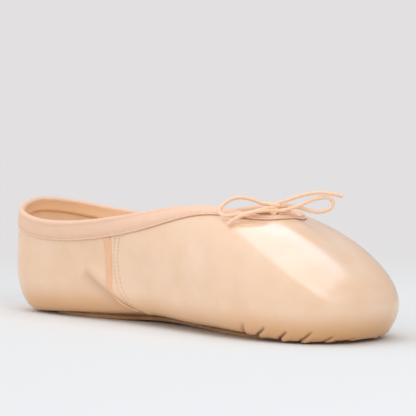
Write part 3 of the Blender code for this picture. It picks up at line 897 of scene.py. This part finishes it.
def cotton_twill(name, light, dark, rough, back=None):
    """Matt cotton with slanting ribs; back, if given, is a lighter colour painted on the turned-in
    side as painted light.
    """
    material, tree, shader = new_material(name)
    uv = add(tree, "ShaderNodeUVMap", {}, uv_map="UVMap").outputs["UV"]
    turn = add(tree, "ShaderNodeMapping", {"Vector": uv, "Rotation": (0, 0, RIB_LEAN)})
    ribs = add(
        tree, "ShaderNodeTexWave",
        {"Vector": turn.outputs["Vector"], "Scale": WAVE_BAND / RIB, "Distortion": 1.0, "Detail": 2.0},
    ).outputs["Fac"]
    place_on = add(tree, "ShaderNodeTexCoord", {}).outputs["Object"]
    mottle = add(
        tree, "ShaderNodeTexNoise", {"Vector": place_on, "Scale": 1 / COTTON_MOTTLE, "Detail": 4.0}
    ).outputs["Fac"]
    color = add(
        tree, "ShaderNodeMix", {"Factor": mottle, "A": paint(dark), "B": paint(light)},
        data_type="RGBA",
    )
    # painted light: the turned-in side, in shade inside the collar, is painted lighter and warmer
    if back:
        turned = add(tree, "ShaderNodeAttribute", {}, attribute_name="painted_light_and_shade").outputs["Fac"]
        color = add(
            tree, "ShaderNodeMix",
            {"Factor": turned, "A": color.outputs["Result"], "B": paint(back)}, data_type="RGBA",
        )
    bump = add(tree, "ShaderNodeBump", {"Height": ribs, "Strength": 0.35, "Distance": 0.08 * MM})
    tree.links.new(color.outputs["Result"], shader.inputs["Base Color"])
    tree.links.new(bump.outputs["Normal"], shader.inputs["Normal"])
    shader.inputs["Roughness"].default_value = rough
    shader.inputs["Sheen Weight"].default_value = 0.1
    return material


# the last colour is painted light for the casing's turned-in side, which lies in shade
CASING_COTTON = cotton_twill("pink_cotton_twill", "F1CBAE", "ECC2A4", 0.55, "FFD6AC")
LINING_COTTON = cotton_twill("tan_cotton_drill", "FADFBE", "F5D4AE", 0.9)
# the tape's orange is partly painted shade, for satin turned away from the light beside the seam
TAPE_SHADE_COTTON = cotton_twill("orange_tape_painted_shade", "F0C09A", "EAB58D", 0.7)
print("cotton ribs drawn", RIB / MM, "mm apart")

# %% [markdown]
# ## The lining
# Inside, a cotton lining lies against the back of the satin. It is a second closed skin, thinner,
# with fewer columns, because only soft light reaches it.

# %% Lining
LINING_OUT = 1.38            # from the satin's face in to the lining; the satin's back is nearer
LINING_COLUMNS = 261
LINING_LOW_ROWS, LINING_TOP_ROWS = 10, 14
lining_s = np.linspace(0, ROUND, LINING_COLUMNS)
lining_outer = outer_rows(lining_s, LINING_LOW_ROWS, LINING_TOP_ROWS)[:, :-1]
lining_normals = grid_normals(lining_outer)
lining_wall = closed_wall(
    lining_outer - lining_normals * LINING_OUT, lining_normals,
    np.zeros(lining_outer.shape[:2]), WALL - LINING_OUT, 1,
)
show("cotton_lining", grid_skin("cotton_lining", lining_wall), LINING_COTTON, "cotton")

# %% [markdown]
# ## The casing
# The casing is a folded strip of cotton that holds the drawstring. Its top is a puffy roll, its
# body lies flat, and a row of stitches presses a valley along its lower edge. The profile below
# gives depth under the rim and height off the last, and it is swept round the collar. Small waves
# along the strip are the puckers that a drawstring leaves. At the heel the strip is pulled tight
# and lies flatter.

# %% Casing profile
CASING_CLOTH = 0.7           # thickness of the folded cloth on the inside
CASING_ROLL = 1.5            # radius of the roll that holds the drawstring
ROLL_DEEP = 1.35             # its thickness through the rim, as a share of its height
CASING_GAP = 1.5 * GAP       # from the casing to the satin and lining that it wraps
CASING_INSIDE = 0.8          # width of its inner side, as a share of the outer side
CASING_SEAT = 1.4            # depth of the inside of the fold, just above the satin's edge
STITCH_UP = 0.9              # from the casing's lower edge up to its stitches


def casing_profile(wide):
    """Depth under the rim and height off the last, round the folded cloth."""
    outside = [
        (wide + 0.1, 0.35), (wide + 0.1, 0.75), (wide - 0.2, 1.0), (wide - 0.5, 0.98),
        (wide - STITCH_UP, 0.7), (wide - 1.3, 0.85), (wide - 1.8, 1.15),
    ]
    outside += [(2.4 + (wide - 4.2) * t, 1.15 + 0.27 * t) for t in (0.85, 0.5, 0.15)]
    angles = np.radians(np.arange(-30, 211, 20))
    roll = [
        (CASING_ROLL * (1 - math.sin(a)), -WALL / 2 + ROLL_DEEP * CASING_ROLL * math.cos(a))
        for a in angles
    ]
    inner = -WALL - CASING_GAP
    inside = CASING_INSIDE * wide
    under = [
        (inside * 0.8, inner - 0.75), (inside, inner - CASING_CLOTH), (inside + 0.1, inner - 0.2),
        (inside, inner), (wide / 2, inner), (CASING_SEAT, inner), (CASING_SEAT, CASING_GAP),
        (wide / 2, CASING_GAP), (inside, GAP),
    ]
    return outside + roll + under


print("casing profile of", len(casing_profile(8.8)), "points")


# %% Sweep round the collar
def sweep(s, profile, relief=None):
    """Sweep (drop, height) pairs round the collar; relief is added to the heights."""
    drops = [drop for drop, _ in profile]
    base = np.array([below_rim(s, drop) for drop in drops])
    fore = np.array([below_rim(s + NUDGE, drop) for drop in drops])
    aft = np.array([below_rim(s - NUDGE, drop) for drop in drops])
    over = np.array([below_rim(s, drop - GAP) for drop in drops])
    under = np.array([below_rim(s, drop + GAP) for drop in drops])
    normal = np.cross(np.moveaxis(fore - aft, 1, -1), np.moveaxis(over - under, 1, -1))
    normal /= np.linalg.norm(normal, axis=-1)[..., None]
    height = np.array([np.broadcast_to(height, s.shape) for _, height in profile])
    if relief is not None:
        height = height + relief
    points = np.moveaxis(base, 1, -1) + normal * height[..., None]
    points = np.moveaxis(points, 0, 1)
    return np.concatenate([points, points[:, :1]], axis=1)


# %% Casing cloth
HEEL_FLATTER = 0.78          # share of its height that the casing loses at the heel
HEEL_SPREAD = 2.8            # stations from the heel over which it does
PUCKER = 0.09                # height of the waves
PUCKER_UP, PUCKER_BAND = 2.2, 1.6  # where they are highest, above the lower edge, and how wide


def flatter(s):
    """The share of its height that the casing loses towards the heel."""
    return HEEL_FLATTER * np.exp(-((np.minimum(s, ROUND - s) / HEEL_SPREAD) ** 2))


def puckers(s, profile, wide):
    """Small uneven waves along the outside of the casing, which lies flatter at the heel."""
    rate = station(s)[1]
    speed = np.hypot(rate["rim_x"], rate["rim_y"])
    along = np.concatenate([[0.0], np.cumsum(speed[:-1] * np.diff(s))])
    turn = 2 * math.pi * along / along[-1]
    wave = np.sin(131 * turn) + 0.7 * np.sin(83 * turn + 1) + 0.5 * np.sin(211 * turn + 2)
    shape = np.array([
        PUCKER * np.exp(-(((wide - drop - PUCKER_UP) / PUCKER_BAND) ** 2)) * (height > 0.6)
        for drop, height in profile
    ])
    outside = np.array([
        np.broadcast_to(np.clip(height, 0.0, None), s.shape) for _, height in profile
    ])
    return shape * wave[None, :] - outside * flatter(s)


casing_s = np.linspace(0, ROUND, 521)
casing_wide = station(casing_s)[0]["casing"]
profile = casing_profile(casing_wide)
cloth = sweep(casing_s, profile, puckers(casing_s, profile, casing_wide))
# painted light: the casing's turned-in points get the lighter colour
turned_in_painted_light = [
    float(np.max(height) < -CASING_ROLL and np.min(drop) > CASING_ROLL)
    for drop, height in (*profile, profile[0])
]
show(
    "casing_cloth", grid_skin("casing_cloth", cloth, np.tile(turned_in_painted_light, (len(cloth), 1))),
    CASING_COTTON, "cotton", "collar_casing",
)

# %% [markdown]
# ## Stitches
# A lockstitch shows as short threads with a small gap between them. Each stitch here is a small
# stretched ball with two dozen faces, laid along its seam.

# %% Thread
def thread_material():
    """Polyester sewing thread, a little glossy."""
    material, tree, shader = new_material("sewing_thread")
    place_on = add(tree, "ShaderNodeTexCoord", {}).outputs["Object"]
    grain = add(
        tree, "ShaderNodeTexNoise", {"Vector": place_on, "Scale": 1 / (0.5 * MM)}
    ).outputs["Fac"]
    color = add(
        tree, "ShaderNodeMix", {"Factor": grain, "A": paint("D9AB8B"), "B": paint("E7C0A0")},
        data_type="RGBA",
    )
    tree.links.new(color.outputs["Result"], shader.inputs["Base Color"])
    shader.inputs["Roughness"].default_value = 0.5
    return material


THREAD_MATERIAL = thread_material()
print("stitches of", THREAD_MATERIAL.name)

# %% Stitch rows
STITCH = 2.0                 # millimetres from one stitch to the next
STITCH_HALF = 0.8            # half the length of its thread
THREAD_RADIUS = 0.18
COLLAR_POINTS = 900
CASING_STITCH_HEIGHT = 0.78  # height of the casing's stitches off the last


def stitch_row(name, run, normals, slot):
    """Stitches along a run of points in millimetres, lying on the surface's normals."""
    length = run_lengths(run, 0)
    maker = bmesh.new()
    middles = np.arange(STITCH / 2, length[-1], STITCH)
    for middle in middles:
        at = np.array([np.interp(middle, length, axis) for axis in run.T])
        fore = np.array([np.interp(middle + STITCH_HALF / 2, length, axis) for axis in run.T])
        aft = np.array([np.interp(middle - STITCH_HALF / 2, length, axis) for axis in run.T])
        out = np.array([np.interp(middle, length, axis) for axis in normals.T])
        x = Vector(fore - aft).normalized()
        z = Vector(out)
        z = (z - x * z.dot(x)).normalized()
        turn = Matrix((x, z.cross(x), z)).transposed().to_4x4()
        size = Matrix.Diagonal((STITCH_HALF * MM, THREAD_RADIUS * MM, THREAD_RADIUS * MM, 1.0))
        bmesh.ops.create_uvsphere(
            maker, u_segments=6, v_segments=4, radius=1.0,
            matrix=Matrix.Translation(Vector(place(at))) @ turn @ size,
        )
    mesh = bpy.data.meshes.new(name)
    maker.to_mesh(mesh)
    maker.free()
    show(name, mesh, THREAD_MATERIAL, slot)


def collar_run(up, height):
    """Points and normals round the collar, a little up from the casing's lower edge."""
    s = np.linspace(0, ROUND, COLLAR_POINTS)
    drop = station(s)[0]["casing"] - up
    height = height * (1 - flatter(s))
    run = sweep(s, [(drop, height)])[:, 0]
    foot = sweep(s, [(drop, height - 1.0)])[:, 0]
    return run, run - foot


stitch_row("casing_stitches", *collar_run(STITCH_UP, CASING_STITCH_HEIGHT), "cotton")

# %% [markdown]
# ## The side seam
# Satin front and back quarters meet at the waist. The raw edges are pressed open under a narrow
# strip that runs out low on the side, and two rows of stitches hold the front quarter beside it.
# All of them are lines of stations and heights, like the folds, and they take up the folds' relief,
# because the seam is what drags the long fold down. The strip's orange, darker than the satin, is
# partly painted shade, for satin turned away from the light beside the seam.

# %% Seam lines
SEAM_STEP = 0.02             # stations between points along a line of the seam
# station and height of the middle of the tape and of the two rows of stitches beside it
SEAM_MIDDLE = ((4.52, 1.72), (4.48, 1.4), (4.45, 1.15), (4.5, 0.85), (4.68, 0.6), (4.98, 0.34))
SEAM_ROWS = (
    ((4.76, 1.68), (4.62, 1.4), (4.58, 1.22), (4.62, 1.05), (4.72, 0.88), (4.86, 0.7), (5.1, 0.44)),
    ((4.87, 1.66), (4.72, 1.4), (4.68, 1.22), (4.73, 1.04), (4.83, 0.88), (4.97, 0.72)),
)


def seam_run(line, far):
    """Stations and heights evenly along a line of the seam."""
    run = smooth_run([(s, height, 0.0) for s, height in line], SEAM_STEP)
    return (ROUND - run[:, 0] if far else run[:, 0]), run[:, 1]


def folded(points):
    """A strip of points on the last with the folds' relief, and its normals."""
    normal = np.cross(np.gradient(points, axis=0), np.gradient(points, axis=1))
    normal /= np.linalg.norm(normal, axis=-1)[..., None]
    normal *= np.sign((normal * points)[..., 1].sum())
    relief = fold_relief(points, normal)[0]
    return points + normal * relief[..., None], normal


print("the seam's middle has", len(seam_run(SEAM_MIDDLE, False)[0]), "points")

# %% Tape
TAPE_WIDE = 5.4              # millimetres at its upper end
TAPE_NARROW = 0.25           # share of its width that the tape keeps at its lower end
TAPE_TAPER = 0.7             # below 1, it narrows late
TAPE_SINK = 0.2              # how far its underside lies in the satin
# across the tape: share of its half width, and height off the satin
TAPE_PROFILE = (
    (-1.0, 0.1), (-0.85, 0.4), (-0.4, 0.55), (0.0, 0.5), (0.4, 0.42), (0.85, 0.3), (1.0, 0.1),
)
SEAM_SPACING = 28.0          # millimetres from one station to the next at the waist


def make_tape(far):
    """The narrow tape, a flat closed strip with rounded edges."""
    middle, heights = seam_run(SEAM_MIDDLE, far)
    wide = float(station(middle[0])[0]["casing"])
    top = 1 + float(rim_t(middle[0], wide + GAP)[0])
    heights = np.minimum(heights, top)
    share = np.linspace(1.0, 0.0, len(heights)) ** TAPE_TAPER
    share = TAPE_NARROW + (1 - TAPE_NARROW) * share
    half = TAPE_WIDE / 2 / SEAM_SPACING
    steps, rises = np.array(TAPE_PROFILE).T
    base, normal = folded(
        np.array([surface_point(middle + step * half * share, heights) for step in steps])
    )
    face = base + normal * rises[:, None, None]
    under = (base - normal * TAPE_SINK)[::-1]
    ring = np.concatenate([face, under, face[:1]])
    centre = ring[:-1].mean(axis=0)
    first = np.repeat(centre[None, :1], len(ring), axis=0)
    last = np.repeat(centre[None, -1:], len(ring), axis=0)
    ring = np.concatenate([first, ring, last], axis=1)
    name = "seam_tape_far" if far else "seam_tape_near"
    show(name + "_cloth", grid_skin(name, ring), TAPE_SHADE_COTTON, "satin", name)


# %% Both seams
STITCH_SIDE = 0.01           # stations to either side, for the direction of the surface
SEAM_STITCH_HEIGHT = 0.05    # height of the seam's stitches off the satin

for far in (False, True):
    make_tape(far)
    for number, line in enumerate(SEAM_ROWS):
        middle, heights = seam_run(line, far)
        strip = np.array([
            surface_point(middle + step, heights) for step in (-STITCH_SIDE, 0.0, STITCH_SIDE)
        ])
        run, out = (grid[1] for grid in folded(strip))
        row_name = f"seam_stitches_{'far' if far else 'near'}_{number + 1}"
        stitch_row(row_name, run + out * SEAM_STITCH_HEIGHT, out, "satin")

# %% [markdown]
# ## Leather sole and insole
# The outsole is a thin cut piece of brown split leather with a skived edge. Its skin is swept
# round the outline: a bevel, a straight edge and a rounded top. Rings that shrink towards a line
# down the middle close it above and below. The insole, a board covered with tan canvas, fills the
# gap between the lasted edges and lies over them inside.

# %% Leather and canvas
GRAIN = 0.8 * MM             # the real length of the nap
PATCHES = 25 * MM            # size of the darker patches


def split_leather():
    """Brown split leather: matt, with short fuzzy nap and a few darker patches."""
    material, tree, shader = new_material("split_leather")
    place_on = add(tree, "ShaderNodeTexCoord", {}).outputs["Object"]
    nap = add(
        tree, "ShaderNodeTexNoise",
        {"Vector": place_on, "Scale": 1 / GRAIN, "Detail": 6.0, "Roughness": 0.7},
    ).outputs["Fac"]
    patches = add(
        tree, "ShaderNodeTexNoise", {"Vector": place_on, "Scale": 1 / PATCHES, "Detail": 3.0}
    ).outputs["Fac"]
    tone = add(tree, "ShaderNodeMath", {0: nap, 1: patches}, operation="MULTIPLY").outputs["Value"]
    tone = add(
        tree, "ShaderNodeMapRange", {"Value": tone, "From Min": 0.12, "From Max": 0.4}
    ).outputs["Result"]
    color = add(
        tree, "ShaderNodeMix", {"Factor": tone, "A": paint("A2774F"), "B": paint("CFA47B")},
        data_type="RGBA",
    )
    bump = add(tree, "ShaderNodeBump", {"Height": nap, "Strength": 0.5, "Distance": 0.2 * MM})
    tree.links.new(color.outputs["Result"], shader.inputs["Base Color"])
    tree.links.new(bump.outputs["Normal"], shader.inputs["Normal"])
    shader.inputs["Roughness"].default_value = 0.85
    return material


LEATHER = split_leather()
CANVAS = cotton_twill("tan_canvas", "E7BE93", "DDAF82", 0.9)
print("leather nap drawn", GRAIN / MM, "mm long")

# %% Outsole and insole
PLATE_COLUMNS = 301
PLATE_MIDDLE = (40.0, 205.0)  # ends of the line down the middle
PLATE_RINGS = (0.0, 0.35, 0.7, 0.9)  # size of the rings on a plate, as a share of its outline


def plate(name, profile, material, slot, node):
    """A plate under the foot: profile gives the step out from the outline and the height."""
    s = np.linspace(0, ROUND, PLATE_COLUMNS)
    rows = []
    for out, height in profile:
        x, y = sole_line(s, out)
        rows.append(np.stack([x, y, height + lift(x)], axis=1))
    heel, toe = PLATE_MIDDLE
    middle = np.stack([np.interp(s, (0, TOE, ROUND), (heel, toe, heel)), 0 * s], axis=1)
    points = []
    for height, row in ((profile[0][1], rows[0]), (profile[-1][1], rows[-1])):
        inner = []
        for share in PLATE_RINGS:
            plan = middle + (row[:, :2] - middle) * share
            inner.append(np.column_stack([plan, height + lift(plan[:, 0])]))
        points.append(inner)
    grid = np.array(points[0] + rows + points[1][::-1])
    show(name, grid_skin(name, np.swapaxes(grid, 0, 1)), material, slot, node)


plate(
    "leather_outsole",
    [(-0.8, 0.0), (-0.3, 0.12), (-0.05, 0.5), (0.0, 1.1), (-0.1, 1.6), (-0.5, 2.05), (-1.2, 2.2)],
    LEATHER, "sole_leather", "outsole",
)
LIP_Z = SEAT_Z + WALL + GAP  # height of the insole's underside, over the lasted edge
plate(
    "canvas_insole",
    [(-LAP - GAP, SEAT_Z), (-LAP - GAP, LIP_Z), (0.5, LIP_Z), (0.5, LIP_Z + 0.9),
     (0.2, LIP_Z + 1.35), (-0.3, LIP_Z + 1.5)],
    CANVAS, "insole_canvas", "insole",
)

# %% [markdown]
# ## The floor
# The shoe stands on a plain white table. A wall behind it would hide the shoe from the back, so
# the floor simply runs on and fades to a pale grey in the distance. It is matt without any gloss,
# because a floor this large would mirror the cards overhead.

# %% Floor
FLOOR_HALF = 12.0            # metres
FADE_FROM = 0.08             # metres behind the middle of the shoe
FADE_TO = 0.42
FLOOR_WHITE = "EAEDEE"
DISTANCE_GREY = "E2E0E1"


def floor_material():
    """White table top that fades to an even grey away from the lights."""
    material, tree, shader = new_material("white_table")
    place_on = add(tree, "ShaderNodeTexCoord", {}).outputs["Object"]
    away = Vector((-math.sin(AZIMUTH), math.cos(AZIMUTH), 0.0))
    depth = add(
        tree, "ShaderNodeVectorMath", {0: place_on, 1: away}, operation="DOT_PRODUCT"
    ).outputs["Value"]
    share = add(
        tree, "ShaderNodeMapRange",
        {"Value": depth, "From Min": FADE_FROM, "From Max": FADE_TO},
        interpolation_type="SMOOTHSTEP",
    ).outputs["Result"]
    grey = add(
        tree, "ShaderNodeEmission", {"Color": paint(DISTANCE_GREY), "Strength": 1.0}
    ).outputs["Emission"]
    shader.inputs["Base Color"].default_value = paint(FLOOR_WHITE)
    shader.inputs["Roughness"].default_value = 0.9
    shader.inputs["Specular IOR Level"].default_value = 0.0
    mixed = add(tree, "ShaderNodeMixShader", {0: share, 1: shader.outputs["BSDF"], 2: grey})
    output = tree.nodes["Material Output"]
    tree.links.new(mixed.outputs["Shader"], output.inputs["Surface"])
    return material


maker = bmesh.new()
bmesh.ops.create_grid(maker, x_segments=1, y_segments=1, size=FLOOR_HALF)
floor_mesh = bpy.data.meshes.new("floor")
maker.to_mesh(floor_mesh)
maker.free()
floor_mesh.materials.append(floor_material())
floor = bpy.data.objects.new("floor", floor_mesh)
bpy.context.scene.collection.objects.link(floor)
print("floor", 2 * FLOOR_HALF, "metres wide")

# %% [markdown]
# ## The lights
# A product photographer lights satin in two ways at once. Broad lamps give the soft even light and
# the shadow; here they are hidden from gloss, so that they leave no second highlight. White cards
# are what the shiny cloth mirrors; here they show in gloss alone. The long card overhead draws the
# bright band across the toe, with the rounded ends of an ellipse, and a lower card in front of it
# lifts the side below it. The sky is brighter towards a window to the left of the camera.

# %% World
SKY_DIM, SKY_BRIGHT = 0.57, 1.2
WINDOW = Vector((-0.7, -0.7, 0.1))  # the way to the window, from the shoe

world = bpy.data.worlds.new("studio")
bpy.context.scene.world = world
world.use_nodes = True
sky = world.node_tree
direction = add(sky, "ShaderNodeTexCoord", {}).outputs["Generated"]
facing = add(
    sky, "ShaderNodeVectorMath", {0: direction, 1: WINDOW}, operation="DOT_PRODUCT"
).outputs["Value"]
glow = add(
    sky, "ShaderNodeMapRange",
    {"Value": facing, "From Min": -0.3, "From Max": 0.9, "To Min": SKY_DIM, "To Max": SKY_BRIGHT},
    interpolation_type="SMOOTHSTEP",
).outputs["Result"]
sky.nodes["Background"].inputs["Color"].default_value = paint("FBFAFC")
sky.links.new(glow, sky.nodes["Background"].inputs["Strength"])
print("sky from", SKY_DIM, "to", SKY_BRIGHT)


# %% Lamps and cards
CARD_TINT = "DDE7FF"


def soft_light(name, radiance, size, spot, target, **settings):
    """A lamp or card of this width and depth in metres, aimed at a target, by its radiance."""
    wide, deep = size
    data = bpy.data.lights.new(name, "AREA")
    data.shape = settings.get("shape", "RECTANGLE")
    data.size = wide
    data.size_y = deep
    data.energy = radiance * math.pi * wide * deep
    data.color = paint(settings.get("tint", "FFFFFF"))[:3]
    lamp = bpy.data.objects.new(name, data)
    bpy.context.scene.collection.objects.link(lamp)
    lamp.location = spot
    aim = (Vector(target) - Vector(spot)).to_track_quat("-Z", "Y").to_euler()
    aim.z += settings.get("turn", 0.0)
    lamp.rotation_euler = aim
    lamp.visible_diffuse = settings.get("lights", True)
    lamp.visible_glossy = settings.get("shines", True)
    print(f"{name}: {data.energy:.2f} watts")


soft_light("overhead", 0.65, (0.84, 0.84), (0.0, 0.0, 0.9), (0.0, 0.0, 0.0), shines=False)
soft_light("front", 2.5, (0.8, 0.8), (1.2, -0.5, 0.88), (0.0, 0.0, 0.03), shines=False)
soft_light(
    "card", 2.2, (0.88, 2.1), (0.1, -0.2, 0.8), (0.1, -0.2, 0.0), lights=False,
    shape="ELLIPSE", turn=math.radians(21.7), tint=CARD_TINT,
)
soft_light(
    "low_card", 1.3, (0.6, 0.9), (0.72, -0.98, 0.7), (0.72, -0.98, 0.0), lights=False,
    shape="ELLIPSE", turn=math.radians(40), tint=CARD_TINT,
)
# the plain view keeps the colours as they were picked
bpy.context.scene.view_settings.view_transform = "Standard"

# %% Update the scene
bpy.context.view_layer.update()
